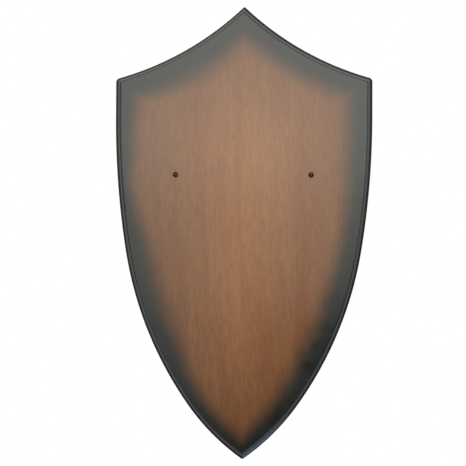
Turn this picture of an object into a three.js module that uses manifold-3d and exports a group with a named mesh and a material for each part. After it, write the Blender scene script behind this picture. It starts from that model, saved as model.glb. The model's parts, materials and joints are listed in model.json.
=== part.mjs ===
// Wall plaque: a heater-shield board with a routed edge, two display screws in its face,
// and a ring hanger and three bumpers on its back.
// Millimetres, +Z up. The face looks along -Y, and the origin is on the wall, behind the middle
// of the board. Every piece is placed from the board's back, and the whole is moved at the end.
import * as THREE from 'three';
import { mergeVertices } from 'three/addons/utils/BufferGeometryUtils.js';
import Module from 'manifold-3d';

const wasm = await Module();
wasm.setup();

// Shield pattern, measured over its sharp corners
const PATTERN_HEIGHT = 612;
const PATTERN_WIDTH = 347.2;
const SHOULDER_DROP = 98;
const STRAIGHT_SIDE = 54;
const TOP_ARC_RADIUS = 405;
// Each side is three tangent arcs: the turn from upright at the end of the first two, and
// the three radii in proportion. The last turn follows from the width and the height.
const SIDE_TURNS_DEG = [9.2, 35.5];
const SIDE_RADIUS_RATIOS = [3.72, 1.64, 1];
// Easing of the outer corners, and of the corners of the face inside the step
const POINT_ROUND = 3;
const SHOULDER_ROUND = 6;
const FACE_CORNER_ROUND = 0.5;

// Board build-up, back to front
const BOARD_THICKNESS = 18;
const VENEER_THICKNESS = 0.6;
const GLUE_LINE = 0.1;

// Routed edge: a quarter round under a small square step
const OVOLO_RADIUS = 6.35;
const STEP_HEIGHT = 1.5;

// Display screws
const DISPLAY_SPACING = 183;
const DISPLAY_BELOW_APEX = 228.5;
const DISPLAY_STANDOFF = 2.5;
const DISPLAY_SCREW = {
  headDiameter: 7, headHeight: 2.7, shankDiameter: 3.5, length: 16,
  slotWidth: 0.9, slotDepth: 1.2, crossed: false,
};

// Hanger: a strap folded round a D-shaped ring
const HANGER_BELOW_APEX = 92;
const STRAP_SHEET = 1;
const STRAP_WIDTH = 10;
const STRAP_TAIL = 13.5;
const RING_WIRE = 3;
const RING_INSIDE_WIDTH = 18;
const RING_INSIDE_REACH = 21;
const RING_BEND_RADIUS = 3;
const RING_BUTT_GAP = 0.6;
const RING_CLEARANCE = 0.35;
const HANGER_SCREW = {
  headDiameter: 6.8, headHeight: 2.3, shankDiameter: 3.4, length: 14,
  slotWidth: 1, slotDepth: 1.1, crossed: true,
};

// Bumpers
const BUMPER_DIAMETER = 14;
const BUMPER_HEIGHT = 6.5;
const BUMPER_TAPER = 1;
const BUMPER_EDGE_ROUND = 1;
const UPPER_BUMPER_FROM_SIDE = 32;
const UPPER_BUMPER_BELOW_SHOULDER = 34;
const LOWER_BUMPER_ABOVE_TIP = 62;

// Clearances between separate pieces
const HOLE_CLEARANCE = 0.3;
const SEAT_GAP = 0.1;

// Roundness
const SAME_POINT = 1e-6;
const ARC_STEPS = 6;
const OVOLO_STEPS = 5;
const TURNED_SEGMENTS = 28;
const WIRE_SIDES = 10;
const RING_STEPS = 56;

const apexZ = PATTERN_HEIGHT / 2;
const tipZ = -PATTERN_HEIGHT / 2;
const shoulderZ = apexZ - SHOULDER_DROP;
const halfWidth = PATTERN_WIDTH / 2;
const displayZ = apexZ - DISPLAY_BELOW_APEX;
const hangerZ = apexZ - HANGER_BELOW_APEX;
const eyeRadius = RING_WIRE / 2 + RING_CLEARANCE;
const pivotY = SEAT_GAP + eyeRadius + STRAP_SHEET;
const wallY = SEAT_GAP + BUMPER_HEIGHT;
const strapTop = SEAT_GAP + 2 * STRAP_SHEET;
const hangerHeadY = strapTop + SEAT_GAP;
const strapScrewZ = hangerZ - STRAP_TAIL + STRAP_WIDTH / 2;
const ovoloTop = BOARD_THICKNESS - STEP_HEIGHT;
const coreBack = VENEER_THICKNESS + GLUE_LINE;
const coreFront = BOARD_THICKNESS - VENEER_THICKNESS - GLUE_LINE;

const material = (color, roughness, metalness = 0) =>
  new THREE.MeshStandardMaterial({ color, roughness, metalness });

const materials = {
  lacquer: material(0x1d1e1d, 0.35),
  faceVeneer: material(0x8a5a41, 0.42),
  backVeneer: material(0x6f4a35, 0.6),
  bronze: material(0x3a2415, 0.4, 0.8),
  zinc: material(0xb9bcc0, 0.35, 1),
  rubber: material(0x1a1a1a, 0.8),
};

// ---- solids ----

// A closed manifold-3d solid from a three.js geometry.
function solid(geometry) {
  const bare = geometry.clone();
  bare.deleteAttribute('normal');
  bare.deleteAttribute('uv');
  const merged = mergeVertices(bare);
  return new wasm.Manifold(new wasm.Mesh({
    numProp: 3,
    vertProperties: new Float32Array(merged.attributes.position.array),
    triVerts: new Uint32Array(merged.index.array),
  }));
}

// A three.js geometry from a manifold-3d solid.
function geometryOf(shape) {
  const mesh = shape.getMesh();
  const geometry = new THREE.BufferGeometry();
  geometry.setAttribute('position', new THREE.BufferAttribute(mesh.vertProperties, 3));
  geometry.setIndex(new THREE.BufferAttribute(mesh.triVerts, 1));
  geometry.computeVertexNormals();
  return geometry;
}

function namedMesh(name, shape, meshMaterial) {
  const geometry = shape.isBufferGeometry ? shape : geometryOf(shape);
  const mesh = new THREE.Mesh(geometry, meshMaterial);
  mesh.name = name;
  return mesh;
}

// A flat shape drawn as (x, z), from one height above the back to another, towards the face.
function slab(shape, from, to) {
  const geometry = new THREE.ExtrudeGeometry(shape, {
    depth: to - from, bevelEnabled: false, curveSegments: ARC_STEPS,
  });
  geometry.translate(0, 0, from);
  geometry.rotateX(Math.PI / 2);
  return solid(geometry);
}

// A cylinder along Y.
function cylinderY(radius, x, z, fromY, toY) {
  const geometry = new THREE.CylinderGeometry(radius, radius, toY - fromY, TURNED_SEGMENTS);
  geometry.translate(x, (fromY + toY) / 2, z);
  return solid(geometry);
}

// ---- shield outline ----

const normalAt = (turn) => new THREE.Vector2(Math.cos(turn), -Math.sin(turn));

// Centre of the hollow arc from the apex to the right shoulder.
function topArcCentre() {
  const chord = new THREE.Vector2(halfWidth, -SHOULDER_DROP);
  const half = chord.length() / 2;
  const away = new THREE.Vector2(SHOULDER_DROP, halfWidth).normalize();
  const distance = Math.sqrt(TOP_ARC_RADIUS ** 2 - half ** 2);
  return new THREE.Vector2(halfWidth / 2, apexZ - SHOULDER_DROP / 2).addScaledVector(away, distance);
}

// The three arcs of the right side, top to bottom: centre, radius, and the turn at each end.
function sideArcs() {
  const straightEnd = shoulderZ - STRAIGHT_SIDE;
  const slope = halfWidth / (straightEnd - tipZ);
  const turns = [0, ...SIDE_TURNS_DEG.map(THREE.MathUtils.degToRad), Math.PI / 2];
  const sum = (part) => SIDE_RADIUS_RATIOS.reduce((total, ratio, i) => total + ratio * part(i), 0);
  const reach = () => sum((i) => Math.cos(turns[i]) - Math.cos(turns[i + 1]));
  const fall = () => sum((i) => Math.sin(turns[i + 1]) - Math.sin(turns[i]));
  let low = turns[2];
  let high = Math.PI / 2;
  for (let i = 0; i < 50; i += 1) {
    turns[3] = (low + high) / 2;
    if (reach() / fall() < slope) low = turns[3];
    else high = turns[3];
  }
  const scale = halfWidth / reach();
  const radii = SIDE_RADIUS_RATIOS.map((ratio) => ratio * scale);
  const centre = new THREE.Vector2(halfWidth - radii[0], straightEnd);
  return radii.map((radius, i) => {
    if (i > 0) centre.addScaledVector(normalAt(turns[i]), radii[i - 1] - radius);
    return { centre: centre.clone(), radius, from: -turns[i], to: -turns[i + 1] };
  });
}

const topCentre = topArcCentre();
const arcs = sideArcs();
const lastArc = arcs[arcs.length - 1];

// The sharp corners of the outline once it is moved in by an inset.
function corner(name, inset) {
  if (name === 'tip') {
    const radius = lastArc.radius - inset;
    return new THREE.Vector2(0, lastArc.centre.y - Math.sqrt(radius ** 2 - lastArc.centre.x ** 2));
  }
  const x = name === 'apex' ? 0 : halfWidth - inset;
  const across = topCentre.x - x;
  return new THREE.Vector2(x, topCentre.y - Math.sqrt((TOP_ARC_RADIUS + inset) ** 2 - across ** 2));
}

const direction = (from, to) => Math.atan2(to.y - from.y, to.x - from.x);

// The right half of the outline, moved in by an inset, with its corners eased by the given radii.
function halfOutline(inset, pointRound, shoulderRound) {
  const apex = corner('apex', inset + pointRound);
  const shoulder = corner('shoulder', inset + shoulderRound);
  const tip = corner('tip', inset + pointRound);
  const tipTurn = direction(lastArc.centre, tip);
  const path = new THREE.Path();
  path.absarc(apex.x, apex.y, pointRound, Math.PI / 2, direction(apex, topCentre), true);
  path.absarc(
    topCentre.x, topCentre.y, TOP_ARC_RADIUS + inset,
    direction(topCentre, apex), direction(topCentre, shoulder), false,
  );
  path.absarc(shoulder.x, shoulder.y, shoulderRound, direction(shoulder, topCentre), 0, true);
  arcs.forEach((arc) => {
    const end = arc === lastArc ? tipTurn : arc.to;
    path.absarc(arc.centre.x, arc.centre.y, arc.radius - inset, arc.from, end, true);
  });
  path.absarc(tip.x, tip.y, pointRound, tipTurn, -Math.PI / 2, true);
  const points = path.getPoints(ARC_STEPS);
  return points.filter((point, i) => i === 0 || point.distanceTo(points[i - 1]) > SAME_POINT);
}

// The whole outline, clockwise from the apex. Its corners get crisper from the edge to the step.
function outline(inset) {
  const share = inset / OVOLO_RADIUS;
  const right = halfOutline(
    inset,
    THREE.MathUtils.lerp(POINT_ROUND, FACE_CORNER_ROUND, share),
    THREE.MathUtils.lerp(SHOULDER_ROUND, FACE_CORNER_ROUND, share),
  );
  const left = right.slice(1, -1).reverse().map((point) => new THREE.Vector2(-point.x, point.y));
  return [...right, ...left];
}

// A solid through shield outlines, each given as its inset and its height above the back.
function loft(levels) {
  const rings = levels.map(({ inset }) => outline(inset));
  const count = rings[0].length;
  const positions = rings.flatMap((ring, i) => ring.flatMap((p) => [p.x, -levels[i].height, p.y]));
  const indices = [];
  for (let level = 0; level < rings.length - 1; level += 1) {
    for (let i = 0; i < count; i += 1) {
      const low = level * count + i;
      const lowNext = level * count + ((i + 1) % count);
      const high = low + count;
      const highNext = lowNext + count;
      indices.push(low, high, lowNext, lowNext, high, highNext);
    }
  }
  const lastRing = (rings.length - 1) * count;
  THREE.ShapeUtils.triangulateShape(rings[0], []).forEach(([a, b, c]) => indices.push(a, c, b));
  THREE.ShapeUtils.triangulateShape(rings[rings.length - 1], []).forEach(([a, b, c]) => {
    indices.push(lastRing + a, lastRing + b, lastRing + c);
  });
  const geometry = new THREE.BufferGeometry();
  geometry.setAttribute('position', new THREE.Float32BufferAttribute(positions, 3));
  geometry.setIndex(indices);
  return solid(geometry);
}

// ---- board ----

const screwHole = (size, x, z, fromY, toY) =>
  cylinderY(size.shankDiameter / 2 + HOLE_CLEARANCE, x, z, fromY, toY);

const displaySides = { left: -1, right: 1 };

function displayHoles() {
  const depth = DISPLAY_SCREW.length - DISPLAY_STANDOFF + HOLE_CLEARANCE;
  return Object.values(displaySides).map((side) => screwHole(
    DISPLAY_SCREW, side * DISPLAY_SPACING / 2, displayZ,
    -BOARD_THICKNESS - DISPLAY_STANDOFF, -BOARD_THICKNESS + depth,
  ));
}

function hangerHole() {
  const depth = HANGER_SCREW.length - hangerHeadY + HOLE_CLEARANCE;
  return screwHole(HANGER_SCREW, 0, strapScrewZ, -depth, pivotY);
}

// The front edge of the core, from the outer wall up to the foot of the step.
function ovoloLevels() {
  return Array.from({ length: OVOLO_STEPS + 1 }, (_, i) => {
    const turn = (i / OVOLO_STEPS) * (Math.PI / 2);
    return {
      inset: OVOLO_RADIUS * (1 - Math.cos(turn)),
      height: ovoloTop - OVOLO_RADIUS * (1 - Math.sin(turn)),
    };
  });
}

function coreBoard() {
  let board = loft([
    { inset: 0, height: coreBack },
    ...ovoloLevels(),
    { inset: OVOLO_RADIUS, height: coreFront },
  ]);
  [hangerHole(), ...displayHoles()].forEach((hole) => {
    board = board.subtract(hole);
  });
  return namedMesh('core_board', board, materials.lacquer);
}

function faceVeneer() {
  let sheet = loft([
    { inset: OVOLO_RADIUS, height: BOARD_THICKNESS - VENEER_THICKNESS },
    { inset: OVOLO_RADIUS, height: BOARD_THICKNESS },
  ]);
  displayHoles().forEach((hole) => {
    sheet = sheet.subtract(hole);
  });
  return namedMesh('face_veneer', sheet, materials.faceVeneer);
}

function backVeneer() {
  const sheet = loft([{ inset: 0, height: 0 }, { inset: 0, height: VENEER_THICKNESS }]);
  return namedMesh('back_veneer', sheet.subtract(hangerHole()), materials.backVeneer);
}

// ---- screws ----

// A round-headed wood screw along Y, with its point towards -Y and the underside of its head at 0.
function screw(name, size, screwMaterial) {
  const headRadius = size.headDiameter / 2;
  const shankRadius = size.shankDiameter / 2;
  const pointLength = size.shankDiameter * 1.4;
  const profile = new THREE.Path();
  profile.moveTo(0, -size.length);
  profile.lineTo(shankRadius, -size.length + pointLength);
  profile.lineTo(shankRadius, 0);
  profile.lineTo(headRadius, 0);
  profile.lineTo(headRadius, size.headHeight * 0.25);
  profile.absellipse(0, size.headHeight * 0.25, headRadius, size.headHeight * 0.75, 0, Math.PI / 2);
  const points = profile.getPoints(ARC_STEPS / 2);
  points[points.length - 1].x = 0;
  let body = solid(new THREE.LatheGeometry(points, TURNED_SEGMENTS));
  const slotLength = size.headDiameter * (size.crossed ? 0.6 : 2);
  const slot = new THREE.BoxGeometry(size.slotWidth, 2 * size.slotDepth, slotLength);
  slot.translate(0, size.headHeight, 0);
  body = body.subtract(solid(slot));
  if (size.crossed) body = body.subtract(solid(slot.clone().rotateY(Math.PI / 2)));
  return namedMesh(name, body, screwMaterial);
}

function displayScrews() {
  return Object.entries(displaySides).map(([side, sign]) => {
    const mesh = screw(`display_screw_${side}`, DISPLAY_SCREW, materials.bronze);
    mesh.rotation.x = Math.PI;
    mesh.position.set(sign * DISPLAY_SPACING / 2, -BOARD_THICKNESS - DISPLAY_STANDOFF, displayZ);
    return mesh;
  });
}

// ---- hanger ----

function strap() {
  const outer = eyeRadius + STRAP_SHEET;
  const leafAngle = -Math.PI + Math.acos((pivotY - strapTop) / outer);
  const side = new THREE.Shape();
  side.moveTo(strapTop, -STRAP_TAIL);
  side.lineTo(SEAT_GAP, -STRAP_TAIL);
  side.absarc(pivotY, 0, outer, Math.PI, leafAngle, true);
  const eye = new THREE.Path();
  eye.absarc(pivotY, 0, eyeRadius, 0, 2 * Math.PI, false);
  side.holes.push(eye);
  const bent = new THREE.ExtrudeGeometry(side, {
    depth: STRAP_WIDTH, bevelEnabled: false, curveSegments: 2 * ARC_STEPS,
  });
  // (x, y) of the drawn side becomes (y, z), and the extrusion runs along X.
  bent.translate(0, 0, -STRAP_WIDTH / 2);
  bent.rotateX(Math.PI / 2);
  bent.rotateZ(Math.PI / 2);
  const half = STRAP_WIDTH / 2;
  const screwZ = strapScrewZ - hangerZ;
  const plan = new THREE.Shape();
  plan.moveTo(-half, outer);
  plan.lineTo(-half, screwZ);
  plan.absarc(0, screwZ, half, Math.PI, 2 * Math.PI, false);
  plan.lineTo(half, outer);
  const trimmed = solid(bent).intersect(slab(plan, -pivotY - outer, 0));
  const hole = screwHole(HANGER_SCREW, 0, screwZ, 0, hangerHeadY);
  const mesh = namedMesh('hanger_strap', trimmed.subtract(hole), materials.zinc);
  mesh.position.z = hangerZ;
  return mesh;
}

// The ring hangs down from the strap's eye. Its wire ends meet inside the eye, a small gap apart.
function ring() {
  const wireRadius = RING_WIRE / 2;
  const halfSpan = RING_INSIDE_WIDTH / 2 + wireRadius;
  const bowCentre = halfSpan - RING_INSIDE_REACH - wireRadius;
  const route = new THREE.Path();
  route.moveTo(RING_BUTT_GAP / 2, 0);
  route.absarc(halfSpan - RING_BEND_RADIUS, -RING_BEND_RADIUS, RING_BEND_RADIUS, Math.PI / 2, 0, true);
  route.absarc(0, bowCentre, halfSpan, 0, -Math.PI, true);
  route.absarc(RING_BEND_RADIUS - halfSpan, -RING_BEND_RADIUS, RING_BEND_RADIUS, Math.PI, Math.PI / 2, true);
  route.lineTo(-RING_BUTT_GAP / 2, 0);
  const points = route.getSpacedPoints(RING_STEPS).map((point) => new THREE.Vector3(point.x, 0, point.y));
  const section = new THREE.Shape();
  section.absarc(0, 0, wireRadius, 0, 2 * Math.PI, false);
  const geometry = new THREE.ExtrudeGeometry(section, {
    extrudePath: new THREE.CatmullRomCurve3(points),
    steps: RING_STEPS,
    curveSegments: WIRE_SIDES / 2,
    bevelEnabled: false,
  });
  const mesh = namedMesh('hanger_ring', solid(geometry), materials.zinc);
  mesh.position.set(0, pivotY, hangerZ);
  return mesh;
}

function hangerScrew() {
  const mesh = screw('hanger_screw', HANGER_SCREW, materials.zinc);
  mesh.position.set(0, hangerHeadY, strapScrewZ);
  return mesh;
}

// ---- bumpers ----

function bumper(name, x, z) {
  const radius = BUMPER_DIAMETER / 2;
  const top = radius - BUMPER_TAPER;
  const wall = BUMPER_HEIGHT - BUMPER_EDGE_ROUND;
  const profile = new THREE.Path();
  profile.moveTo(0, 0);
  profile.lineTo(radius, 0);
  profile.lineTo(top, wall);
  profile.absarc(top - BUMPER_EDGE_ROUND, wall, BUMPER_EDGE_ROUND, 0, Math.PI / 2, false);
  profile.lineTo(0, BUMPER_HEIGHT);
  const geometry = new THREE.LatheGeometry(profile.getPoints(ARC_STEPS / 2), TURNED_SEGMENTS);
  const mesh = namedMesh(name, solid(geometry), materials.rubber);
  mesh.position.set(x, SEAT_GAP, z);
  return mesh;
}

function bumpers() {
  const x = halfWidth - UPPER_BUMPER_FROM_SIDE;
  const z = shoulderZ - UPPER_BUMPER_BELOW_SHOULDER;
  return [
    bumper('bumper_upper_left', -x, z),
    bumper('bumper_upper_right', x, z),
    bumper('bumper_lower', 0, tipZ + LOWER_BUMPER_ABOVE_TIP),
  ];
}

const plaque = new THREE.Group();
plaque.add(coreBoard(), faceVeneer(), backVeneer());
plaque.add(...displayScrews());
plaque.add(strap(), ring(), hangerScrew());
plaque.add(...bumpers());
plaque.position.y = -wallY;

export default plaque;
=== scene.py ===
"""A heater-shield wall plaque: the finished look of its board, veneers, screws, hanger and bumpers.

Metres throughout, +Z up. The face looks along -Y and the wall is the plane Y = 0. Heights in the
board are measured from its back towards the face, and insets inwards from the shield outline.
"""
import json
import math

import bmesh
import bpy
import numpy as np
from mathutils import Matrix, Vector


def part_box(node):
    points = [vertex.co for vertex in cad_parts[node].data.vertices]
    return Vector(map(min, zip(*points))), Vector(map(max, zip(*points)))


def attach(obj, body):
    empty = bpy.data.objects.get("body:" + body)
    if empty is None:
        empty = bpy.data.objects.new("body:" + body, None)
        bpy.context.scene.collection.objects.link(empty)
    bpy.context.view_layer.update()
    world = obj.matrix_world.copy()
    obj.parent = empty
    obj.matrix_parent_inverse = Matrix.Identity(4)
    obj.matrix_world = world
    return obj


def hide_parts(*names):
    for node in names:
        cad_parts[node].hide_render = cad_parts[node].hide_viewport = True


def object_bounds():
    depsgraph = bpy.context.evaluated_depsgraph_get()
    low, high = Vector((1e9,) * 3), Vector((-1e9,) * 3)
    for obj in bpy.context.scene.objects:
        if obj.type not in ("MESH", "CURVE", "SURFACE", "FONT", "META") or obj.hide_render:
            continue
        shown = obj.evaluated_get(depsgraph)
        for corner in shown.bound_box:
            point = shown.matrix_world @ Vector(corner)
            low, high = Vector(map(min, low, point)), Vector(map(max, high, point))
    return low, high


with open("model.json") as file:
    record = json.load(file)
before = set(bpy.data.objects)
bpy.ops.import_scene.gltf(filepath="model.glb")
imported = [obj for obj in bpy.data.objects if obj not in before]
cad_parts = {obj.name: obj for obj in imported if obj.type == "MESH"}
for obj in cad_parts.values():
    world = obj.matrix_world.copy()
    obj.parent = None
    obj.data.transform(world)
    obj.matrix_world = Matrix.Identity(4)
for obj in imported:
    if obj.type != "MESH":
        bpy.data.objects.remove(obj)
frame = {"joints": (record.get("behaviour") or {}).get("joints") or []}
cad_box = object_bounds()

MM = 0.001

# ---- sizes of the board, read from the frame or kept with the pattern ----

face_low, face_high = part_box("face_veneer")

HALF_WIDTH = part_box("core_board")[1].x
BACK_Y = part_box("back_veneer")[1].y
BOARD_THICKNESS = BACK_Y - face_low.y
VENEER_THICKNESS = face_high.y - face_low.y
ROUND_OVER = HALF_WIDTH - face_high.x

PATTERN_HEIGHT = 612 * MM
SHOULDER_DROP = 98 * MM
STRAIGHT_SIDE = 54 * MM
TOP_ARC_RADIUS = 405 * MM
SIDE_TURNS = [math.radians(9.2), math.radians(35.5)]
SIDE_RADIUS_RATIOS = [3.72, 1.64, 1]
POINT_ROUND = 3 * MM
SHOULDER_ROUND = 6 * MM
FACE_CORNER_ROUND = 0.5 * MM
STEP_HEIGHT = 1.5 * MM
FACE_BEVEL = 0.6 * MM
QUIRK_WIDTH = 0.3 * MM
QUIRK_DEPTH = 0.6 * MM
BACK_ARRIS_ROUND = 0.35 * MM

ARC_STEPS = 26
CORNER_STEPS = 10
ROUND_OVER_STEPS = 16
ARRIS_STEPS = 4

# How far in from the outline the charcoal spray is at half strength, down each side:
# (height above the middle of the shield, reach), both in mm
SPRAY_REACH = {
    "left": [
        (305, 48), (260, 40), (200, 42), (160, 30), (60, 20),
        (-50, 35), (-110, 34), (-226, 23), (-290, 19),
    ],
    "right": [
        (305, 45), (260, 33), (160, 36), (60, 29),
        (0, 29), (-157, 36), (-226, 30), (-290, 24),
    ],
}


# ---- shield outline ----

APEX_Z = PATTERN_HEIGHT / 2
TIP_Z = -PATTERN_HEIGHT / 2
SHOULDER_Z = APEX_Z - SHOULDER_DROP


def top_arc_centre():
    """Centre of the hollow arc from the apex to the right shoulder."""
    half_chord = math.hypot(HALF_WIDTH, SHOULDER_DROP) / 2
    away = Vector((SHOULDER_DROP, HALF_WIDTH)).normalized()
    middle = Vector((HALF_WIDTH / 2, APEX_Z - SHOULDER_DROP / 2))
    return middle + away * math.sqrt(TOP_ARC_RADIUS**2 - half_chord**2)


def side_arcs():
    """The three tangent arcs of the right side, top to bottom: (centre, radius, start angle, end angle)."""
    straight_end = SHOULDER_Z - STRAIGHT_SIDE
    slope = HALF_WIDTH / (straight_end - TIP_Z)
    low, high = SIDE_TURNS[1], math.pi / 2
    for _ in range(50):
        turns = [0, *SIDE_TURNS, (low + high) / 2]
        steps = list(zip(SIDE_RADIUS_RATIOS, turns, turns[1:]))
        reach = sum(ratio * (math.cos(a) - math.cos(b)) for ratio, a, b in steps)
        fall = sum(ratio * (math.sin(b) - math.sin(a)) for ratio, a, b in steps)
        if reach / fall < slope:
            low = turns[3]
        else:
            high = turns[3]
    arcs = []
    centre = Vector((HALF_WIDTH, straight_end))
    last_radius = 0
    for ratio, start, end in steps:
        radius = ratio * HALF_WIDTH / reach
        centre = centre + Vector((math.cos(start), -math.sin(start))) * (last_radius - radius)
        arcs.append((centre, radius, -start, -end))
        last_radius = radius
    return arcs


TOP_CENTRE = top_arc_centre()
SIDE_ARCS = side_arcs()


def corner(name, inset):
    """A sharp corner of the outline once it is moved in by an inset."""
    if name == "tip":
        centre, radius = SIDE_ARCS[-1][:2]
        return Vector((0, centre.y - math.sqrt((radius - inset) ** 2 - centre.x**2)))
    x = 0 if name == "apex" else HALF_WIDTH - inset
    fall = math.sqrt((TOP_ARC_RADIUS + inset) ** 2 - (TOP_CENTRE.x - x) ** 2)
    return Vector((x, TOP_CENTRE.y - fall))


def angle_to(start, end):
    return math.atan2(end.y - start.y, end.x - start.x)


def arc_points(centre, radius, start, end, steps):
    """Points along an arc, without its last one."""
    turns = [start + (end - start) * i / steps for i in range(steps)]
    return [(centre.x + radius * math.cos(t), centre.y + radius * math.sin(t)) for t in turns]


def shield(inset):
    """The outline as (x, z), clockwise from the apex, moved in by an inset. Corners get crisper inwards."""
    share = min(1, inset / ROUND_OVER)
    point_round = POINT_ROUND + (FACE_CORNER_ROUND - POINT_ROUND) * share
    shoulder_round = SHOULDER_ROUND + (FACE_CORNER_ROUND - SHOULDER_ROUND) * share
    apex = corner("apex", inset + point_round)
    shoulder = corner("shoulder", inset + shoulder_round)
    tip = corner("tip", inset + point_round)
    tip_turn = angle_to(SIDE_ARCS[-1][0], tip)
    full = 2 * math.pi
    points = arc_points(apex, point_round, math.pi / 2, angle_to(apex, TOP_CENTRE), CORNER_STEPS)
    points += arc_points(
        TOP_CENTRE, TOP_ARC_RADIUS + inset,
        angle_to(TOP_CENTRE, apex) % full, angle_to(TOP_CENTRE, shoulder) % full, ARC_STEPS,
    )
    points += arc_points(shoulder, shoulder_round, angle_to(shoulder, TOP_CENTRE), 0, CORNER_STEPS)
    for centre, radius, start, end in SIDE_ARCS:
        end = tip_turn if radius == SIDE_ARCS[-1][1] else end
        points += arc_points(centre, radius - inset, start, end, ARC_STEPS)
    points += arc_points(tip, point_round, tip_turn, -math.pi / 2, CORNER_STEPS)
    points.append((0, tip.y - point_round))
    return points + [(-x, z) for x, z in points[-2:0:-1]]


# ---- mesh helpers ----

def level(inset, height):
    """A ring of board points at an inset and a height above the board's back."""
    return [(x, BACK_Y - height, z) for x, z in shield(inset)]


# Edges that turn more than this stay crisp.
SHARP_ANGLE = math.radians(40)


def finished(name, points, faces, material):
    """A smooth-shaded object of those faces, with its normals pointing out."""
    mesh = bpy.data.meshes.new(name)
    mesh.from_pydata([tuple(p) for p in points], [], faces)
    edit = bmesh.new()
    edit.from_mesh(mesh)
    bmesh.ops.remove_doubles(edit, verts=edit.verts, dist=1e-7)
    bmesh.ops.recalc_face_normals(edit, faces=edit.faces)
    edit.to_mesh(mesh)
    edit.free()
    mesh.shade_smooth()
    mesh.set_sharp_from_angle(angle=SHARP_ANGLE)
    mesh.materials.append(material)
    made = bpy.data.objects.new(name, mesh)
    bpy.context.scene.collection.objects.link(made)
    return made


def lofted(name, rings, material):
    """A closed piece: a skin from ring to ring, and a flat face over the first and the last of them."""
    count = len(rings[0])
    points = [p for ring in rings for p in ring]
    faces = []
    for first in range(0, len(points) - count, count):
        for j in range(count):
            a = first + j
            b = first + (j + 1) % count
            faces.append((a, b, b + count, a + count))
    faces += [tuple(range(count)), tuple(range(len(points) - count, len(points)))]
    return finished(name, points, faces, material)


def store(made, name, values):
    """A named number at each vertex, for the materials to read."""
    attribute = made.data.attributes.new(name, "FLOAT", "POINT")
    attribute.data.foreach_set("value", np.asarray(values, np.float32))


def vertices(made):
    """The (x, y, z) of each vertex, as rows."""
    co = np.empty(len(made.data.vertices) * 3, np.float32)
    made.data.vertices.foreach_get("co", co)
    return co.reshape(-1, 3).astype(float)


def ridge(distance, width):
    """1 on an edge, fading to 0 over about a width."""
    return np.exp(-((distance / width) ** 2))


def distance_from_outline(points):
    """How far each (x, z) is from the shield outline."""
    line = np.array(shield(0))
    along = np.roll(line, -1, 0) - line
    best = np.full(len(points), np.inf)
    for start, run in zip(line, along):
        t = np.clip(((points - start) @ run) / max(run @ run, 1e-12), 0, 1)
        best = np.minimum(best, np.hypot(*(points - start - t[:, None] * run).T))
    return best


def spray_reach(points):
    """How far the spray reaches in from the outline, at each (x, z)."""
    reach = []
    for side in ("left", "right"):
        stations = np.array(SPRAY_REACH[side][::-1]) * MM
        reach.append(np.interp(points[:, 1], stations[:, 0], stations[:, 1]))
    share = np.clip(0.5 + points[:, 0] / (0.5 * HALF_WIDTH), 0, 1)
    return reach[0] * (1 - share) + reach[1] * share


def mark_spray(made):
    """Stores what the spray needs to know at each vertex."""
    flat = vertices(made)[:, [0, 2]]
    store(made, "edge_distance", distance_from_outline(flat))
    store(made, "spray_reach", spray_reach(flat))


def place(made, body, slot, *nodes):
    """Rides the piece on its body, in place of CAD nodes."""
    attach(made, body)
    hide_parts(*nodes)
    return made


# ---- node helpers ----

def add(tree, kind, settings=None, inputs=None):
    """A node with its settings, and its inputs set to values or linked to sockets."""
    made = tree.nodes.new(kind)
    for name, value in (settings or {}).items():
        setattr(made, name, value)
    for name, value in (inputs or {}).items():
        if isinstance(value, bpy.types.NodeSocket):
            tree.links.new(value, made.inputs[name])
        else:
            made.inputs[name].default_value = value
    return made


def maths(tree, operation, a, b, clamp=False):
    return add(tree, "ShaderNodeMath", {"operation": operation, "use_clamp": clamp}, {0: a, 1: b}).outputs[0]


def mix_colour(tree, factor, a, b, blend="MIX"):
    settings = {"data_type": "RGBA", "blend_type": blend, "clamp_factor": True}
    return add(tree, "ShaderNodeMix", settings, {0: factor, 6: a, 7: b}).outputs[2]


def combined(tree, x, y, z):
    """A vector of three numbers."""
    return add(tree, "ShaderNodeCombineXYZ", {}, {0: x, 1: y, 2: z}).outputs[0]


def separated(tree, vector):
    """The three numbers of a vector."""
    return add(tree, "ShaderNodeSeparateXYZ", {}, {0: vector}).outputs


def spread(tree, value, low, high, to_low=0.0, to_high=1.0, smooth=False):
    """Maps low..high of a value to to_low..to_high and clamps it."""
    settings = {"interpolation_type": "SMOOTHSTEP" if smooth else "LINEAR", "clamp": True}
    inputs = {"Value": value, 1: low, 2: high, 3: to_low, 4: to_high}
    return add(tree, "ShaderNodeMapRange", settings, inputs).outputs[0]


def stretched(tree, vector, scale):
    """Coordinates multiplied by a number along each axis."""
    made = add(tree, "ShaderNodeVectorMath", {"operation": "MULTIPLY"}, {0: vector, 1: scale})
    return made.outputs[0]


def noise(tree, vector, scale, detail=2.0, roughness=0.5, distortion=0.0):
    inputs = {
        "Vector": vector, "Scale": scale, "Detail": detail,
        "Roughness": roughness, "Distortion": distortion,
    }
    return add(tree, "ShaderNodeTexNoise", {}, inputs).outputs[0]


def colour(red, green, blue):
    return (red, green, blue, 1.0)


def ramp(tree, value, stops):
    """A colour read off a row of (position, colour) stops."""
    made = add(tree, "ShaderNodeValToRGB", {}, {0: value})
    elements = made.color_ramp.elements
    for element, (position, tone) in zip(elements, (stops[0], stops[-1])):
        element.position = position
        element.color = tone
    for position, tone in stops[1:-1]:
        elements.new(position).color = tone
    return made.outputs[0]


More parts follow.
